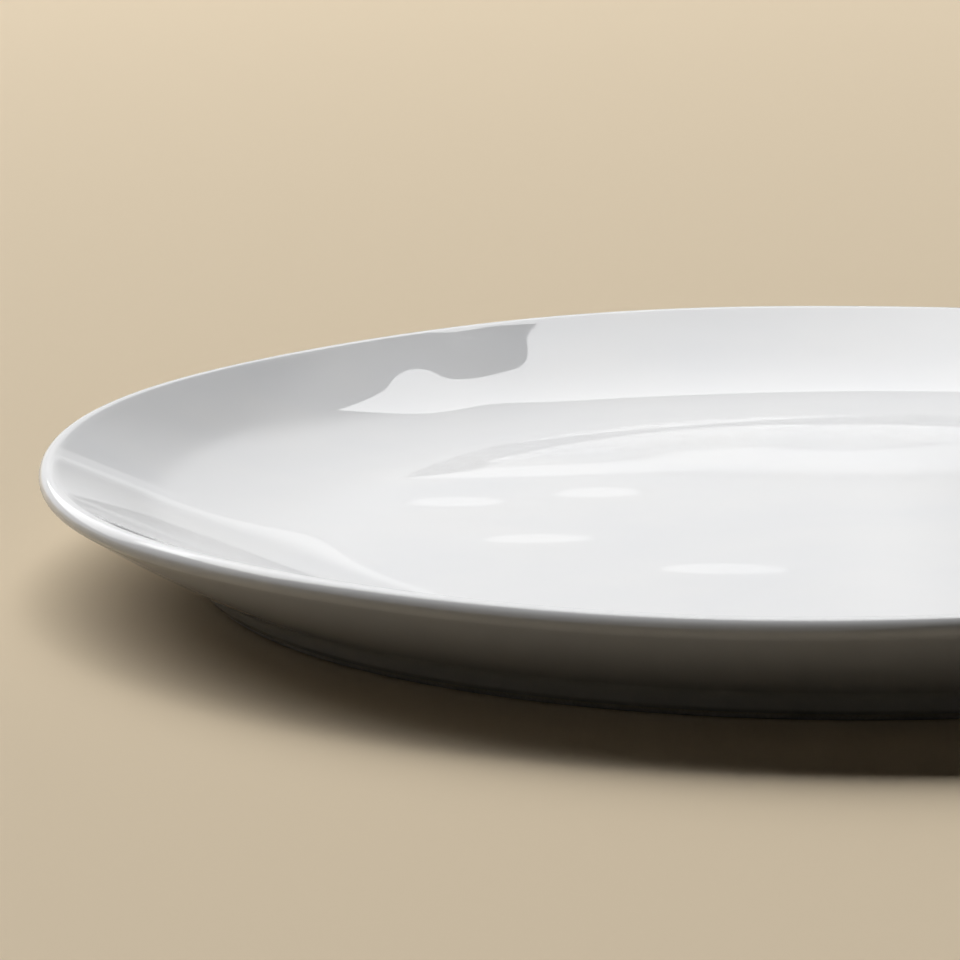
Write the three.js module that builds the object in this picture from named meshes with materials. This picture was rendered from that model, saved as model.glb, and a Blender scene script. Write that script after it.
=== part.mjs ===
// Round coupe dinner plate in white porcelain: a pressed body with a low foot ring, glazed all over
// except on the ring that it stands on. Millimetres, +Z up, origin on the table under the middle.
import * as THREE from "three";
import { mergeVertices } from "three/addons/utils/BufferGeometryUtils.js";

// Finished plate, measured over the glaze
const rimDiameter = 270;
const rimHeight = 21;
const lipThickness = 3.5;
// How much flatter than its straight line to the lip the wall starts, in degrees: on the underside and inside
const outerFlare = 5;
const innerFlare = 1;
// Well: where the wall rises from it, how far the bend there reaches each way, and how low its middle lies
const wellDiameter = 206;
const wellHeight = 7.2;
const wellBend = 17;
const wellDish = 0.4;

// Foot ring: the bare resting face, the slopes of its two flanks in degrees, and the crease above it
const footDiameter = 217;
const footWidth = 3.2;
const footHeight = 4.6;
const footOuterSlope = 55;
const footInnerSlope = 60;
const footEdgeRound = 0.6;
const creaseBlend = 2;

// Recess inside the foot ring
const recessHeight = 2.6;
const recessBlend = 1.2;

// Glaze: its thickness, the gap that keeps it apart from the body, and the height of its edge on the foot
const glazeThickness = 0.3;
const bondGap = 0.05;
const glazeLine = 1.3;

// Hand-finished unevenness: how the rim rises and falls around the plate, with the first crest in degrees
const rimWaves = [
  { crests: 2, height: 0.35, first: -57 },
  { crests: 6, height: 0.3, first: -9 },
];
// Long shallow swells across the well, each with its heading in degrees and how far off the middle it crests
const wellSwells = [
  { length: 88, height: 0.05, heading: 20, crest: 12 },
  { length: 71, height: 0.04, heading: 78, crest: 30 },
  { length: 60, height: 0.03, heading: 141, crest: 5 },
];

// Finishes: bare fired clay, and the glossy white glaze
const bareClay = { color: "#e9e4da", roughness: 0.7, metalness: 0 };
const whiteGlaze = { color: "#eeeff0", roughness: 0.06, metalness: 0 };

// Facets: around the plate, and along each stretch of its profile
const facetsAround = 64;
const wellFacets = 6;
const bendFacets = 4;
const wallFacets = 4;
const lipFacets = 5;
const undersideFacets = 4;
const blendFacets = 3;
const edgeFacets = 2;
const recessFacets = 4;

const radians = THREE.MathUtils.degToRad;
const rimRadius = rimDiameter / 2;
const footRadius = footDiameter / 2;
const bodyInset = glazeThickness + bondGap;
const outerSlope = radians(footOuterSlope);
const innerSlope = radians(footInnerSlope);

const point = (r, z) => new THREE.Vector2(r, z);
const along = (from, slope, distance) =>
  point(from.x + distance * Math.cos(slope), from.y + distance * Math.sin(slope));

// Where the line through p at slope a meets the line through q at slope b
function meet(p, a, q, b) {
  const reach = (q.x - p.x) * Math.sin(b) - (q.y - p.y) * Math.cos(b);
  return along(p, a, reach / Math.sin(b - a));
}

// A round stretch that leaves p at slope a and arrives at q at slope b
const sweep = (p, a, q, b) => new THREE.QuadraticBezierCurve(p, meet(p, a, q, b), q);

// Corner where the glazed outer flank of the foot meets the underside of the wall
const crease = along(point(footRadius + bodyInset / Math.sin(outerSlope), 0), outerSlope,
  footHeight / Math.sin(outerSlope));

// Lip: a round edge whose two ends run on into the eating side and the underside of the wall
const lipRadius = lipThickness / 2;
const lipCentre = point(rimRadius - lipRadius, rimHeight - lipRadius);
// Slope of the straight line from a corner that touches the lip above (side 1) or below (side -1)
const slopeToLip = (corner, side) => Math.atan2(lipCentre.y - corner.y, lipCentre.x - corner.x)
  + side * Math.asin(lipRadius / lipCentre.distanceTo(corner));

// Underside of the wall, from the crease to the lip
const creaseSlope = slopeToLip(crease, -1) - radians(outerFlare);
const lipOutsideSlope = creaseSlope + 2 * radians(outerFlare);
const lipOutside = along(lipCentre, lipOutsideSlope - Math.PI / 2, lipRadius);

// Eating side: the bend out of the well, then a wall that steepens evenly up to the lip
const wellCorner = point(wellDiameter / 2, wellHeight);
const bendSlope = slopeToLip(wellCorner, 1) - radians(innerFlare);
const bendEnd = along(wellCorner, bendSlope, wellBend);
const lipInsideSlope = 2 * slopeToLip(bendEnd, 1) - bendSlope;
const lipInside = along(lipCentre, lipInsideSlope + Math.PI / 2, lipRadius);

// Samples curves into profile points, each with its outward normal and whether it is on the eating side
function trace(stretches) {
  const samples = [];
  for (const { curve, facets, eatingSide = false } of stretches) {
    for (let i = samples.length ? 1 : 0; i <= facets; i++) {
      const at = curve.getPoint(i / facets);
      const way = curve.getTangent(i / facets);
      samples.push({ at, normal: point(-way.y, way.x), eatingSide });
    }
  }
  return samples;
}

// The same samples moved out along their normals; points on the axis stay on it
const offset = (samples, distance) => samples.map(({ at, normal, eatingSide }) => ({
  at: point(at.x && at.x + distance * normal.x, at.y + distance * normal.y),
  eatingSide,
}));

// Glazed surface from the middle of the well over the lip and down to the glaze line on the foot
function outerSurface() {
  const wellEdge = along(wellCorner, 0, -wellBend);
  const wellSlope = Math.atan2(2 * wellDish, wellEdge.x);
  const wellMiddle = point(0, wellHeight - wellDish);
  const wallEnd = along(crease, creaseSlope, creaseBlend);
  const flankTop = along(crease, outerSlope, -creaseBlend);
  const flankEnd = along(crease, outerSlope, (glazeLine - footHeight) / Math.sin(outerSlope));
  const lip = new THREE.EllipseCurve(lipCentre.x, lipCentre.y, lipRadius, lipRadius,
    lipInsideSlope + Math.PI / 2, lipOutsideSlope - Math.PI / 2, true);
  return trace([
    { curve: sweep(wellMiddle, 0, wellEdge, wellSlope), facets: wellFacets, eatingSide: true },
    { curve: sweep(wellEdge, wellSlope, bendEnd, bendSlope), facets: bendFacets, eatingSide: true },
    { curve: sweep(bendEnd, bendSlope, lipInside, lipInsideSlope), facets: wallFacets, eatingSide: true },
    { curve: lip, facets: lipFacets },
    { curve: sweep(lipOutside, lipOutsideSlope, wallEnd, creaseSlope), facets: undersideFacets },
    { curve: sweep(wallEnd, creaseSlope, flankTop, outerSlope), facets: blendFacets },
    { curve: new THREE.LineCurve(flankTop, flankEnd), facets: 1 },
  ]);
}

// Glazed surface of the recess, from the glaze line on the foot's inner flank to the middle
function recessSurface() {
  const flankFoot = point(footRadius - footWidth - bodyInset / Math.sin(innerSlope), 0);
  const up = Math.PI - innerSlope;
  const flankStart = along(flankFoot, up, glazeLine / Math.sin(innerSlope));
  const corner = along(flankFoot, up, recessHeight / Math.sin(innerSlope));
  const flankEnd = along(corner, up, -recessBlend);
  const floorStart = along(corner, Math.PI, recessBlend);
  return trace([
    { curve: new THREE.LineCurve(flankStart, flankEnd), facets: 1 },
    { curve: sweep(flankEnd, up, floorStart, Math.PI), facets: blendFacets },
    { curve: new THREE.LineCurve(floorStart, point(0, recessHeight)), facets: recessFacets },
  ]);
}

// Bare foot: two rounded edges with the flat resting face between them
function footSurface() {
  const outerEdge = point(footRadius, 0);
  const innerEdge = point(footRadius - footWidth, 0);
  const roundFrom = along(outerEdge, outerSlope, footEdgeRound);
  const faceFrom = along(outerEdge, 0, -footEdgeRound);
  const faceTo = along(innerEdge, 0, footEdgeRound);
  const roundTo = along(innerEdge, Math.PI - innerSlope, footEdgeRound);
  return trace([
    { curve: sweep(roundFrom, outerSlope, faceFrom, 0), facets: edgeFacets },
    { curve: new THREE.LineCurve(faceFrom, faceTo), facets: 1 },
    { curve: sweep(faceTo, 0, roundTo, Math.PI - innerSlope), facets: edgeFacets },
  ]);
}

// How far hand finishing lifts the surface at a place on the plate
function unevenness(x, y, eatingSide) {
  const angle = Math.atan2(y, x);
  const toRim = Math.max(0, (Math.hypot(x, y) - crease.x) / (rimRadius - crease.x)) ** 2;
  let lift = 0;
  for (const { crests, height, first } of rimWaves) {
    lift += toRim * height * Math.cos(crests * (angle - radians(first)));
  }
  const onWell = eatingSide ? Math.max(0, 1 - toRim) : 0;
  for (const { length, height, heading, crest } of wellSwells) {
    const travel = x * Math.cos(radians(heading)) + y * Math.sin(radians(heading)) - crest;
    lift += onWell * height * Math.cos((2 * Math.PI * travel) / length);
  }
  return lift;
}

// Turns a closed profile about the plate's axis, then lifts each vertex by the unevenness
function turned(profile) {
  const outline = profile.map(({ at }) => at);
  const geometry = new THREE.LatheGeometry(outline, facetsAround).rotateX(Math.PI / 2);
  const place = geometry.getAttribute("position");
  for (let i = 0; i < place.count; i++) {
    const { eatingSide } = profile[i % profile.length];
    place.setZ(i, place.getZ(i) + unevenness(place.getX(i), place.getY(i), eatingSide));
  }
  geometry.deleteAttribute("normal");
  geometry.deleteAttribute("uv");
  const merged = mergeVertices(geometry);
  merged.computeVertexNormals();
  return merged;
}

function mesh(name, geometry, finish) {
  const piece = new THREE.Mesh(geometry, new THREE.MeshStandardMaterial(finish));
  piece.name = name;
  return piece;
}

// A coat of glaze between a glazed surface and the same surface one glaze thickness further in
function coat(surface) {
  const outside = offset(surface, 0);
  const inside = offset(surface, -glazeThickness).reverse();
  const opensOnAxis = outside[0].at.x === 0;
  return opensOnAxis ? [...outside, ...inside] : [...inside, ...outside];
}

function porcelainBody() {
  const profile = [
    ...offset(outerSurface(), -bodyInset),
    ...offset(footSurface(), 0),
    ...offset(recessSurface(), -bodyInset),
  ];
  return mesh("porcelain_body", turned(profile.reverse()), bareClay);
}

function glazeCoat() {
  return mesh("glaze_coat", turned(coat(outerSurface()).reverse()), whiteGlaze);
}

function recessGlaze() {
  return mesh("recess_glaze", turned(coat(recessSurface()).reverse()), whiteGlaze);
}

const plate = new THREE.Group();
plate.add(porcelainBody(), glazeCoat(), recessGlaze());

export default plate;
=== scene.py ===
import math
from collections import namedtuple

import bmesh
import bpy
from mathutils import Matrix, Vector


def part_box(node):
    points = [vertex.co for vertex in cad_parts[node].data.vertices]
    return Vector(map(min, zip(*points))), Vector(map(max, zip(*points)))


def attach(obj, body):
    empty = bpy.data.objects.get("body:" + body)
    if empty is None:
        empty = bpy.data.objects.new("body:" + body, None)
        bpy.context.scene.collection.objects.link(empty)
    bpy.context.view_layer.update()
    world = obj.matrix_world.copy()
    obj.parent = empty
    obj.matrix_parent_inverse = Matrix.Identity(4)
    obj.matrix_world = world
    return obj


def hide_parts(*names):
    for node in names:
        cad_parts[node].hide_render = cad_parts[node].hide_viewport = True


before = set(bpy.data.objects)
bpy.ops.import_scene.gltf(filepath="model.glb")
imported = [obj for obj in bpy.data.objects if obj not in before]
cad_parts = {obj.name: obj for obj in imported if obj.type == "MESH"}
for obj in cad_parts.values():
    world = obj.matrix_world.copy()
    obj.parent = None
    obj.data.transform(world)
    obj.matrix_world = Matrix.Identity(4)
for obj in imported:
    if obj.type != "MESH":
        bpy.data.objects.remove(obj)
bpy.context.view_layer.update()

MM = 0.001

# Sizes of the glazed plate in millimetres. The rim and the foot's glaze line come from the frame. The rim's
# height and the well's dish are a hair under the solid's, for its facets and for the reflected light
RIM_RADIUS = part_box("glaze_coat")[1].x / MM
RIM_HEIGHT = 20.96
LIP_THICKNESS = 3.5
OUTER_FLARE = math.radians(5)
INNER_FLARE = math.radians(1)
WELL_RADIUS = 103
WELL_HEIGHT = 7.2
WELL_BEND = 17
WELL_DISH = 0.32
FOOT_RADIUS = 108.5
FOOT_WIDTH = 3.2
FOOT_HEIGHT = 4.6
FOOT_OUTER_SLOPE = math.radians(55)
FOOT_INNER_SLOPE = math.radians(60)
FOOT_EDGE_ROUND = 0.6
CREASE_BLEND = 2
RECESS_HEIGHT = 2.6
RECESS_BLEND = 1.2
GLAZE_THICKNESS = 0.3
BOND_GAP = 0.05
GLAZE_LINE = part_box("glaze_coat")[0].z / MM
BODY_INSET = GLAZE_THICKNESS + BOND_GAP

# Hand-finished unevenness. Around the rim: crests, height, and the first crest in degrees
RIM_WAVES = [(2, 0.35, -57), (6, 0.3, -9)]
# On the eating side, soft swellings: middle, height, length, width, and heading in degrees
SWELLINGS = [
    (10, 25, 0.06, 45, 32, 0),
    (-68, 8, 0.05, 6, 5, -2),
    (-45, 16, 0.05, 5, 5, 8),
    (-52, -22, 0.06, 8, 5, 6),
    (-21, -46, 0.085, 10, 6, -5),
    (-64, 33, 0.05, 14, 6, 10),
    (-60, 56, 0.05, 15, 6, 25),
    (-72, 74, -0.05, 16, 8, 20),
    (-2, 73, 0.055, 10, 6, 0),
    (17, 82, 0.03, 6, 6, 0),
    (-76, 86, 0.36, 9, 12, 18),
    (-73, 106, 0.22, 5, 8, 66),
]
# The higher this power, the closer to the lip the swellings fade out
SWELLING_FADE = 4

# Fineness of the meshes: steps around the plate, and the longest step along a profile in millimetres
TURN_STEPS = 360
FINE_STEP = 1.2
RECESS_STEP = 2.4
LIP_STEP = 0.25
HIDDEN_STEP = 8
# Points of a turned piece that are this close, in millimetres, are one point, as on its axis
MERGE_DISTANCE = 1e-5


# Profile of the plate, as points of radius and height

def along(start, slope, distance):
    """The point at a distance from the start along a line at a slope."""
    return start + distance * Vector((math.cos(slope), math.sin(slope)))


def meet(p, a, q, b):
    """Where the line through p at slope a meets the line through q at slope b."""
    reach = (q.x - p.x) * math.sin(b) - (q.y - p.y) * math.cos(b)
    return along(p, a, reach / math.sin(b - a))


def fractions(length, step):
    """Even shares from 0 to 1 that cut a length into parts no longer than the step."""
    count = max(2, math.ceil(length / step))
    return [i / count for i in range(count + 1)]


def line(p, q, step):
    return [p.lerp(q, t) for t in fractions((q - p).length, step)]


def sweep(p, a, q, b, step):
    """A round stretch that leaves p at slope a and arrives at q at slope b."""
    corner = meet(p, a, q, b)
    length = (corner - p).length + (q - corner).length
    return [p.lerp(corner, t).lerp(corner.lerp(q, t), t) for t in fractions(length, step)]


def arc(centre, radius, start, end, step):
    turn = end - start
    return [along(centre, start + turn * t, radius) for t in fractions(abs(turn) * radius, step)]


def joined(*stretches):
    """One run of points from stretches that each start where the last one ended."""
    points = list(stretches[0])
    for stretch in stretches[1:]:
        points += stretch[1:]
    return points


def offset(points, distance):
    """The points moved out along the profile's normals; a point on the axis stays on it."""
    moved = []
    for i, at in enumerate(points):
        way = (points[min(i + 1, len(points) - 1)] - points[max(i - 1, 0)]).normalized()
        out = at + distance * Vector((-way.y, way.x))
        moved.append(Vector((out.x if at.x else 0, out.y)))
    return moved


crease = along(Vector((FOOT_RADIUS + BODY_INSET / math.sin(FOOT_OUTER_SLOPE), 0)), FOOT_OUTER_SLOPE,
               FOOT_HEIGHT / math.sin(FOOT_OUTER_SLOPE))
lip_radius = LIP_THICKNESS / 2
lip_centre = Vector((RIM_RADIUS - lip_radius, RIM_HEIGHT - lip_radius))


def slope_to_lip(corner, side):
    """Slope of the straight line from a corner that touches the lip above (side 1) or below (side -1)."""
    way = lip_centre - corner
    return math.atan2(way.y, way.x) + side * math.asin(lip_radius / way.length)


crease_slope = slope_to_lip(crease, -1) - OUTER_FLARE
lip_outside_slope = crease_slope + 2 * OUTER_FLARE
lip_outside = along(lip_centre, lip_outside_slope - math.pi / 2, lip_radius)
well_corner = Vector((WELL_RADIUS, WELL_HEIGHT))
bend_slope = slope_to_lip(well_corner, 1) - INNER_FLARE
bend_end = along(well_corner, bend_slope, WELL_BEND)
lip_inside_slope = 2 * slope_to_lip(bend_end, 1) - bend_slope
lip_inside = along(lip_centre, lip_inside_slope + math.pi / 2, lip_radius)


def eating_surface(step):
    well_edge = along(well_corner, 0, -WELL_BEND)
    well_slope = math.atan2(2 * WELL_DISH, well_edge.x)
    return joined(
        sweep(Vector((0, WELL_HEIGHT - WELL_DISH)), 0, well_edge, well_slope, step),
        sweep(well_edge, well_slope, bend_end, bend_slope, step),
        sweep(bend_end, bend_slope, lip_inside, lip_inside_slope, step))


def outer_surface(step, lip_step):
    wall_end = along(crease, crease_slope, CREASE_BLEND)
    flank_top = along(crease, FOOT_OUTER_SLOPE, -CREASE_BLEND)
    flank_end = along(crease, FOOT_OUTER_SLOPE, (GLAZE_LINE - FOOT_HEIGHT) / math.sin(FOOT_OUTER_SLOPE))
    lip_start = lip_inside_slope + math.pi / 2
    lip_end = lip_outside_slope - math.pi / 2
    return joined(
        arc(lip_centre, lip_radius, lip_start, lip_end, lip_step),
        sweep(lip_outside, lip_outside_slope, wall_end, crease_slope, step),
        sweep(wall_end, crease_slope, flank_top, FOOT_OUTER_SLOPE, lip_step),
        line(flank_top, flank_end, step))


def recess_surface(step, blend_step):
    up = math.pi - FOOT_INNER_SLOPE
    flank_foot = Vector((FOOT_RADIUS - FOOT_WIDTH - BODY_INSET / math.sin(FOOT_INNER_SLOPE), 0))
    flank_start = along(flank_foot, up, GLAZE_LINE / math.sin(FOOT_INNER_SLOPE))
    corner = along(flank_foot, up, RECESS_HEIGHT / math.sin(FOOT_INNER_SLOPE))
    flank_end = along(corner, up, -RECESS_BLEND)
    floor_start = along(corner, math.pi, RECESS_BLEND)
    return joined(
        line(flank_start, flank_end, blend_step),
        sweep(flank_end, up, floor_start, math.pi, blend_step),
        line(floor_start, Vector((0, RECESS_HEIGHT)), step))


def foot_surface(step):
    outer_edge = Vector((FOOT_RADIUS, 0))
    inner_edge = Vector((FOOT_RADIUS - FOOT_WIDTH, 0))
    up = math.pi - FOOT_INNER_SLOPE
    round_start = along(outer_edge, FOOT_OUTER_SLOPE, FOOT_EDGE_ROUND)
    face_start = along(outer_edge, math.pi, FOOT_EDGE_ROUND)
    face_end = along(inner_edge, 0, FOOT_EDGE_ROUND)
    round_end = along(inner_edge, up, FOOT_EDGE_ROUND)
    return joined(
        sweep(round_start, FOOT_OUTER_SLOPE, face_start, 0, step),
        line(face_start, face_end, step),
        sweep(face_end, 0, round_end, up, step))


def unevenness(x, y, eating_side):
    """How far hand finishing lifts the surface at a place on the plate."""
    angle = math.atan2(y, x)
    reach = math.hypot(x, y) - crease.x
    # The rim's waves grow from nothing at the foot's crease, with the square of the way to the rim
    to_rim = max(0, reach / (RIM_RADIUS - crease.x)) ** 2
    lift = 0
    for crests, height, first in RIM_WAVES:
        lift += to_rim * height * math.cos(crests * (angle - math.radians(first)))
    # The swellings are on the eating side alone, and are gone where the lip starts
    to_lip = max(0, reach / (lip_inside.x - crease.x))
    swollen = max(0, 1 - to_lip ** SWELLING_FADE) if eating_side else 0
    for middle_x, middle_y, height, length, width, heading in SWELLINGS:
        cos, sin = math.cos(math.radians(heading)), math.sin(math.radians(heading))
        lengthwise = ((x - middle_x) * cos + (y - middle_y) * sin) / length
        across = ((y - middle_y) * cos - (x - middle_x) * sin) / width
        lift += swollen * height * math.exp(-(lengthwise ** 2 + across ** 2) / 2)
    return lift


# Turned pieces

def turned_piece(name, profile, material, node):
    """Turns a profile of (point, eating side) about the plate's axis and lifts it by the unevenness."""
    bm = bmesh.new()
    eating = bm.verts.layers.float.new("eating_side")
    outline = []
    for at, eating_side in profile:
        vert = bm.verts.new((at.x, 0, at.y))
        vert[eating] = eating_side
        outline.append(vert)
    edges = [bm.edges.new(pair) for pair in zip(outline, outline[1:])]
    bmesh.ops.spin(bm, geom=outline + edges, cent=(0, 0, 0), axis=(0, 0, 1), angle=math.tau,
                   steps=TURN_STEPS, use_merge=True)
    bmesh.ops.remove_doubles(bm, verts=bm.verts, dist=MERGE_DISTANCE)
    bmesh.ops.recalc_face_normals(bm, faces=bm.faces)
    for vert in bm.verts:
        vert.co.z += unevenness(vert.co.x, vert.co.y, vert[eating])
    bmesh.ops.scale(bm, vec=(MM, MM, MM), verts=bm.verts)
    bm.verts.layers.float.remove(eating)
    for face in bm.faces:
        face.smooth = True
    mesh = bpy.data.meshes.new(name)
    bm.to_mesh(mesh)
    bm.free()
    mesh.materials.append(material)
    piece = bpy.data.objects.new(name, mesh)
    bpy.context.scene.collection.objects.link(piece)
    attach(piece, "root")
    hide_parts(node)


def sided(points, eating_side):
    """The points, each with a 1 where it is on the eating side and a 0 elsewhere."""
    return [(at, eating_side) for at in points]


def glaze_coat(material):
    outer = sided(eating_surface(FINE_STEP), 1) + sided(outer_surface(FINE_STEP, LIP_STEP)[1:], 0)
    inner_eating = offset(eating_surface(HIDDEN_STEP), -GLAZE_THICKNESS)
    inner_outer = offset(outer_surface(HIDDEN_STEP, LIP_STEP), -GLAZE_THICKNESS)
    inner = sided(inner_eating, 1) + sided(inner_outer[1:], 0)
    turned_piece("glazed_surface", outer + inner[::-1], material, "glaze_coat")


def recess_glaze(material):
    outer = recess_surface(RECESS_STEP, LIP_STEP)
    inner = offset(recess_surface(HIDDEN_STEP, LIP_STEP), -GLAZE_THICKNESS)
    profile = sided(inner[::-1] + outer, 0)
    turned_piece("glazed_recess", profile, material, "recess_glaze")


def porcelain_body(material):
    eating = offset(eating_surface(HIDDEN_STEP), -BODY_INSET)
    outer = offset(outer_surface(HIDDEN_STEP, LIP_STEP), -BODY_INSET)
    recess = offset(recess_surface(HIDDEN_STEP, LIP_STEP), -BODY_INSET)
    profile = sided(eating, 1) + sided(outer[1:] + foot_surface(LIP_STEP) + recess, 0)
    turned_piece("fired_body", profile, material, "porcelain_body")


# Materials

# Clouds in the white under the glaze: their size in millimetres, and where in the pattern each colour starts
CLOUD_SIZE = 26
CLOUD_DETAIL = 2
CLOUD_STOPS = [(0.3, "#ebecee"), (0.7, "#f0f0f0")]
# Waves in the gloss: their size in millimetres, and how rough the gloss is at two places in the pattern
GLOSS_WAVE_SIZE = 2.4
GLOSS_WAVE_DETAIL = 1
GLOSS_WAVE_SHARES = (0.3, 0.7)
GLOSS_ROUGHNESS = (0.01, 0.03)
# Grain of the bare clay in millimetres, drawn coarser than the real one so that it shows, and its colours
GRAIN_SIZE = 0.5
GRAIN_DETAIL = 3
GRAIN_DEPTH = 0.03
GRAIN_STRENGTH = 0.3
GRAIN_STOPS = [(0.35, "#d9d4ca"), (0.65, "#e8e4dc")]
CLAY_ROUGHNESS = 0.7
# Feldspar glass and the vitrified body bend light alike
PORCELAIN_IOR = 1.5


def linear(hex_colour):
    """Linear RGBA of an sRGB hex colour."""
    channels = [int(hex_colour[i:i + 2], 16) / 255 for i in (1, 3, 5)]
    return [c / 12.92 if c <= 0.04045 else ((c + 0.055) / 1.055) ** 2.4 for c in channels] + [1]


def add_node(tree, kind, settings=None, values=None, links=None, stops=()):
    """Adds a node with its settings, its sockets' values, the outputs that feed it and a ramp's stops."""
    node = tree.nodes.new(kind)
    for name, value in (settings or {}).items():
        setattr(node, name, value)
    for socket, value in (values or {}).items():
        node.inputs[socket].default_value = value
    for socket, output in (links or {}).items():
        tree.links.new(output, node.inputs[socket])
    for i, (share, colour) in enumerate(stops):
        node.color_ramp.elements[i].position = share
        node.color_ramp.elements[i].color = linear(colour)
    return node


def new_material(name):
    material = bpy.data.materials.new(name)
    material.use_nodes = True
    material.node_tree.nodes.clear()
    return material, material.node_tree


def glazed_porcelain():
    """Clear feldspar glaze fired on white porcelain: a glassy skin over a faintly cloudy white."""
    material, tree = new_material("glazed_porcelain")
    place = add_node(tree, "ShaderNodeTexCoord")
    cloud = add_node(tree, "ShaderNodeTexNoise",
                     values={"Scale": 1 / (CLOUD_SIZE * MM), "Detail": CLOUD_DETAIL},
                     links={"Vector": place.outputs["Object"]})
    white = add_node(tree, "ShaderNodeValToRGB", links={"Fac": cloud.outputs["Fac"]}, stops=CLOUD_STOPS)
    wave = add_node(tree, "ShaderNodeTexNoise",
                    values={"Scale": 1 / (GLOSS_WAVE_SIZE * MM), "Detail": GLOSS_WAVE_DETAIL},
                    links={"Vector": place.outputs["Object"]})
    gloss = add_node(tree, "ShaderNodeMapRange",
                     values={"From Min": GLOSS_WAVE_SHARES[0], "From Max": GLOSS_WAVE_SHARES[1],
                             "To Min": GLOSS_ROUGHNESS[0], "To Max": GLOSS_ROUGHNESS[1]},
                     links={"Value": wave.outputs["Fac"]})
    shader = add_node(tree, "ShaderNodeBsdfPrincipled", values={"IOR": PORCELAIN_IOR},
                      links={"Base Color": white.outputs["Color"], "Roughness": gloss.outputs["Result"]})
    add_node(tree, "ShaderNodeOutputMaterial", links={"Surface": shader.outputs["BSDF"]})
    return material


def bare_porcelain():
    """Vitrified porcelain wiped bare of glaze: a dense, matt, warm off-white with a very fine grain."""
    material, tree = new_material("bare_porcelain")
    place = add_node(tree, "ShaderNodeTexCoord")
    grain = add_node(tree, "ShaderNodeTexNoise",
                     values={"Scale": 1 / (GRAIN_SIZE * MM), "Detail": GRAIN_DETAIL},
                     links={"Vector": place.outputs["Object"]})
    clay = add_node(tree, "ShaderNodeValToRGB", links={"Fac": grain.outputs["Fac"]}, stops=GRAIN_STOPS)
    bump = add_node(tree, "ShaderNodeBump",
                    values={"Strength": GRAIN_STRENGTH, "Distance": GRAIN_DEPTH * MM},
                    links={"Height": grain.outputs["Fac"]})
    shader = add_node(tree, "ShaderNodeBsdfPrincipled",
                      values={"Roughness": CLAY_ROUGHNESS, "IOR": PORCELAIN_IOR},
                      links={"Base Color": clay.outputs["Color"], "Normal": bump.outputs["Normal"]})
    add_node(tree, "ShaderNodeOutputMaterial", links={"Surface": shader.outputs["BSDF"]})
    return material


# Camera: where it stands in metres, its turn to the right, its tilt down, its roll, its focal length and the
# picture's width in pixels, and its sensor's width in millimetres

CAMERA_PLACE = Vector((0, -0.74429, 0.1622))
CAMERA_TURN = math.radians(-4.837)
CAMERA_TILT = math.radians(11.258)
CAMERA_ROLL = math.radians(-1.112)
FOCAL_PIXELS = 4582
FRAME_PIXELS = 960
SENSOR_WIDTH = 36


def photo_camera():
    data = bpy.data.cameras.new("photo_camera")
    data.sensor_width = SENSOR_WIDTH
    data.lens = FOCAL_PIXELS / FRAME_PIXELS * SENSOR_WIDTH
    camera = bpy.data.objects.new("photo_camera", data)
    bpy.context.scene.collection.objects.link(camera)
    forward = Vector((math.sin(CAMERA_TURN) * math.cos(CAMERA_TILT),
                      math.cos(CAMERA_TURN) * math.cos(CAMERA_TILT), -math.sin(CAMERA_TILT)))
    level = Vector((math.cos(CAMERA_TURN), -math.sin(CAMERA_TURN), 0))
    upright = level.cross(forward)
    right = math.cos(CAMERA_ROLL) * level + math.sin(CAMERA_ROLL) * upright
    above = math.cos(CAMERA_ROLL) * upright - math.sin(CAMERA_ROLL) * level
    turn = Matrix((right, above, -forward)).transposed()
    camera.matrix_world = Matrix.Translation(CAMERA_PLACE) @ turn.to_4x4()
    bpy.context.scene.camera = camera


# Studio: a pale floor, a large softbox high above and behind, soft panels, and a pale room seen in the gloss

FLOOR_COLOUR = "#e2d1b6"
FLOOR_BOUNCE_COLOUR = "#857d70"
FLOOR_REACH = 12
# Panels, in metres. The glow is how bright the lower and the upper edge are, and the fade gives the places
# across the panel, from 0 to 1, where it is dark and where it is full
Panel = namedtuple("Panel", "name middle facing width height low_glow high_glow fade", defaults=[None])
DOWN = (0, 0, -1)
FORWARD = (0, -1, 0)
TO_PLATE_FROM_LEFT = (3.5, -4.2, -2.4)
PANELS = [
    Panel("softbox", (-3.22, 3.785, 5), DOWN, 8.57, 6.07, 4.6, 2.3),
    Panel("back_panel", (-3.75, 40, 18.9), FORWARD, 21.5, 21.4, 0.16, 0.85, fade=(0, 0.2)),
    Panel("window", (-7, 40, 25.45), FORWARD, 15, 8.3, 1, 1.5),
    Panel("pane", (-0.26, 40, 12.3), FORWARD, 3.3, 6, 0.25, 0.25),
    Panel("right_pane", (0.85, 38, 8.07), FORWARD, 2.5, 1.7, 0.24, 0.24, fade=(1, 0.35)),
    Panel("screen", (-1.7, 40, 7.28), FORWARD, 6.4, 1.75, 0, 0.38, fade=(1, 0.9)),
    Panel("left_panel", (-3.5, 4.2, 2.4), TO_PLATE_FROM_LEFT, 3.9, 2.5, 1.6, 1.6),
]
# The room: white, greyer low down on the right. The way across the grey's slanting edge, where that edge
# starts and ends, how bright the grey is, and how much of the room's light falls on the plate
ROOM_COLOUR = "#ffffff"
ROOM_WAY = (1, 0, -0.42)
ROOM_EDGE = (-0.09, -0.047)
ROOM_GREY = 0.5
ROOM_SHADE = 0.01


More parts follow.
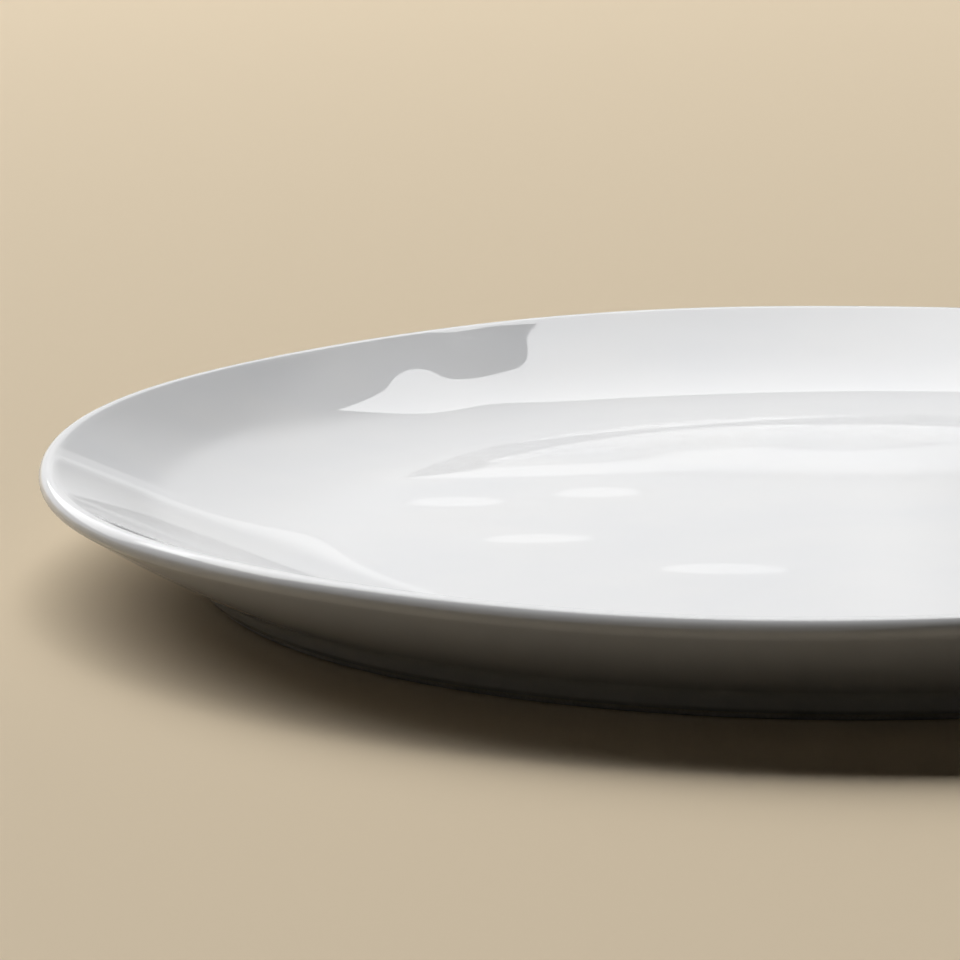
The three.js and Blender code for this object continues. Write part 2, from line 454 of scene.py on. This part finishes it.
def pale_floor():
    """A pale floor that throws only a little light back up, so that the shade under the plate stays deep."""
    material, tree = new_material("pale_floor")
    seen = add_node(tree, "ShaderNodeBsdfDiffuse", values={"Color": linear(FLOOR_COLOUR)})
    bounce = add_node(tree, "ShaderNodeBsdfDiffuse", values={"Color": linear(FLOOR_BOUNCE_COLOUR)})
    path = add_node(tree, "ShaderNodeLightPath")
    shader = add_node(tree, "ShaderNodeMixShader",
                      links={0: path.outputs["Is Diffuse Ray"], 1: seen.outputs["BSDF"],
                             2: bounce.outputs["BSDF"]})
    add_node(tree, "ShaderNodeOutputMaterial", links={"Surface": shader.outputs["Shader"]})
    bm = bmesh.new()
    bmesh.ops.create_grid(bm, x_segments=1, y_segments=1, size=FLOOR_REACH)
    mesh = bpy.data.meshes.new("pale_floor")
    bm.to_mesh(mesh)
    bm.free()
    mesh.materials.append(material)
    floor = bpy.data.objects.new("pale_floor", mesh)
    bpy.context.scene.collection.objects.link(floor)


def panel_lamp(panel):
    """A flat lamp that the camera doesn't see, graded upwards and, with a fade, also to one side.

    Its power makes its face as bright as its glow times white.
    """
    data = bpy.data.lights.new(panel.name, "AREA")
    data.shape = "RECTANGLE"
    data.size = panel.width
    data.size_y = panel.height
    data.energy = math.pi * panel.width * panel.height
    data.use_nodes = True
    tree = data.node_tree
    place = add_node(tree, "ShaderNodeNewGeometry")
    split = add_node(tree, "ShaderNodeSeparateXYZ", links={"Vector": place.outputs["Parametric"]})
    glow = add_node(tree, "ShaderNodeMapRange", {"interpolation_type": "SMOOTHSTEP"},
                    {"To Min": panel.low_glow, "To Max": panel.high_glow},
                    {"Value": split.outputs["Y"]}).outputs["Result"]
    if panel.fade:
        dark, full = panel.fade
        across = add_node(tree, "ShaderNodeMapRange", {"interpolation_type": "SMOOTHSTEP"},
                          {"From Min": dark, "From Max": full}, {"Value": split.outputs["X"]})
        glow = add_node(tree, "ShaderNodeMath", {"operation": "MULTIPLY"},
                        links={0: glow, 1: across.outputs["Result"]}).outputs["Value"]
    tree.links.new(glow, tree.nodes["Emission"].inputs["Strength"])
    lamp = bpy.data.objects.new(panel.name, data)
    bpy.context.scene.collection.objects.link(lamp)
    lamp.location = panel.middle
    lamp.rotation_mode = "QUATERNION"
    lamp.rotation_quaternion = Vector(panel.facing).to_track_quat("-Z", "Y")
    lamp.visible_camera = False


def pale_room():
    """A white room, greyer in one place, that is seen in the gloss but barely lights the plate."""
    world = bpy.data.worlds.new("pale_room")
    world.use_nodes = True
    tree = world.node_tree
    tree.nodes.clear()
    way = add_node(tree, "ShaderNodeTexCoord")
    across = add_node(tree, "ShaderNodeVectorMath", {"operation": "DOT_PRODUCT"}, {1: ROOM_WAY},
                      {0: way.outputs["Generated"]})
    walls = add_node(tree, "ShaderNodeMapRange", {"interpolation_type": "SMOOTHSTEP"},
                     {"From Min": ROOM_EDGE[0], "From Max": ROOM_EDGE[1], "To Min": 1, "To Max": ROOM_GREY},
                     {"Value": across.outputs["Value"]})
    seen = add_node(tree, "ShaderNodeBackground", values={"Color": linear(ROOM_COLOUR)},
                    links={"Strength": walls.outputs["Result"]})
    shade = add_node(tree, "ShaderNodeBackground", values={"Strength": ROOM_SHADE})
    path = add_node(tree, "ShaderNodeLightPath")
    shown = add_node(tree, "ShaderNodeMath", {"operation": "MAXIMUM"},
                     links={0: path.outputs["Is Camera Ray"], 1: path.outputs["Is Glossy Ray"]})
    room = add_node(tree, "ShaderNodeMixShader",
                    links={0: shown.outputs["Value"], 1: shade.outputs["Background"],
                           2: seen.outputs["Background"]})
    add_node(tree, "ShaderNodeOutputWorld", links={"Surface": room.outputs["Shader"]})
    bpy.context.scene.world = world


# The plate, and the studio around it

glaze = glazed_porcelain()
glaze_coat(glaze)
recess_glaze(glaze)
porcelain_body(bare_porcelain())
pale_floor()
for panel in PANELS:
    panel_lamp(panel)
pale_room()
photo_camera()
bpy.context.scene.view_settings.view_transform = "Standard"
